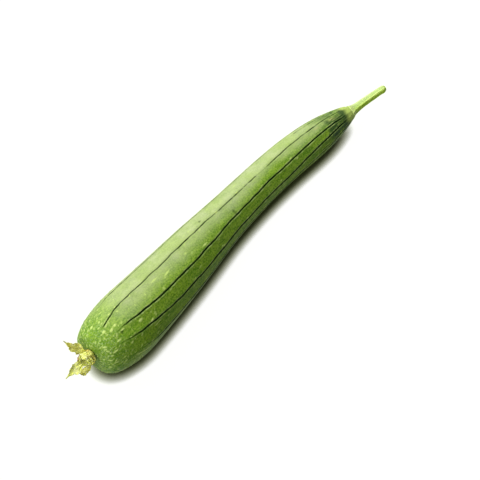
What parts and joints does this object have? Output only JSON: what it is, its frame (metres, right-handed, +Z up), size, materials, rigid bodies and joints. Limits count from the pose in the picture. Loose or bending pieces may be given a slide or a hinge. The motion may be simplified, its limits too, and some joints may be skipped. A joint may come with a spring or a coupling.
{
  "type": "sponge gourd",
  "caption": "Long club-shaped sponge gourd with dark-veined green rind, cut stem and withered flower, lying on its side.",
  "frame": {"origin": "middle of the ground under the gourd as it lies, at the lowest point of the rind", "axes": "+Z up; +X along the gourd from the withered flower to the cut stem; the body bows gently towards +Y"},
  "size_m": [0.482, 0.0664, 0.0644],
  "materials": {
    "rind": "satin",
    "stem": "satin",
    "sepal": "matte",
    "petal": "matte"
  },
  "bodies": {
    "root": {"fruit": "rind", "stem": "stem", "calyx_cup": "sepal", "sepal_1": "sepal", "sepal_2": "sepal", "sepal_3": "sepal", "sepal_4": "sepal", "sepal_5": "sepal", "petal_1": "petal", "petal_2": "petal", "petal_3": "petal", "petal_4": "petal", "petal_5": "petal"}
  },
  "joints": []
}
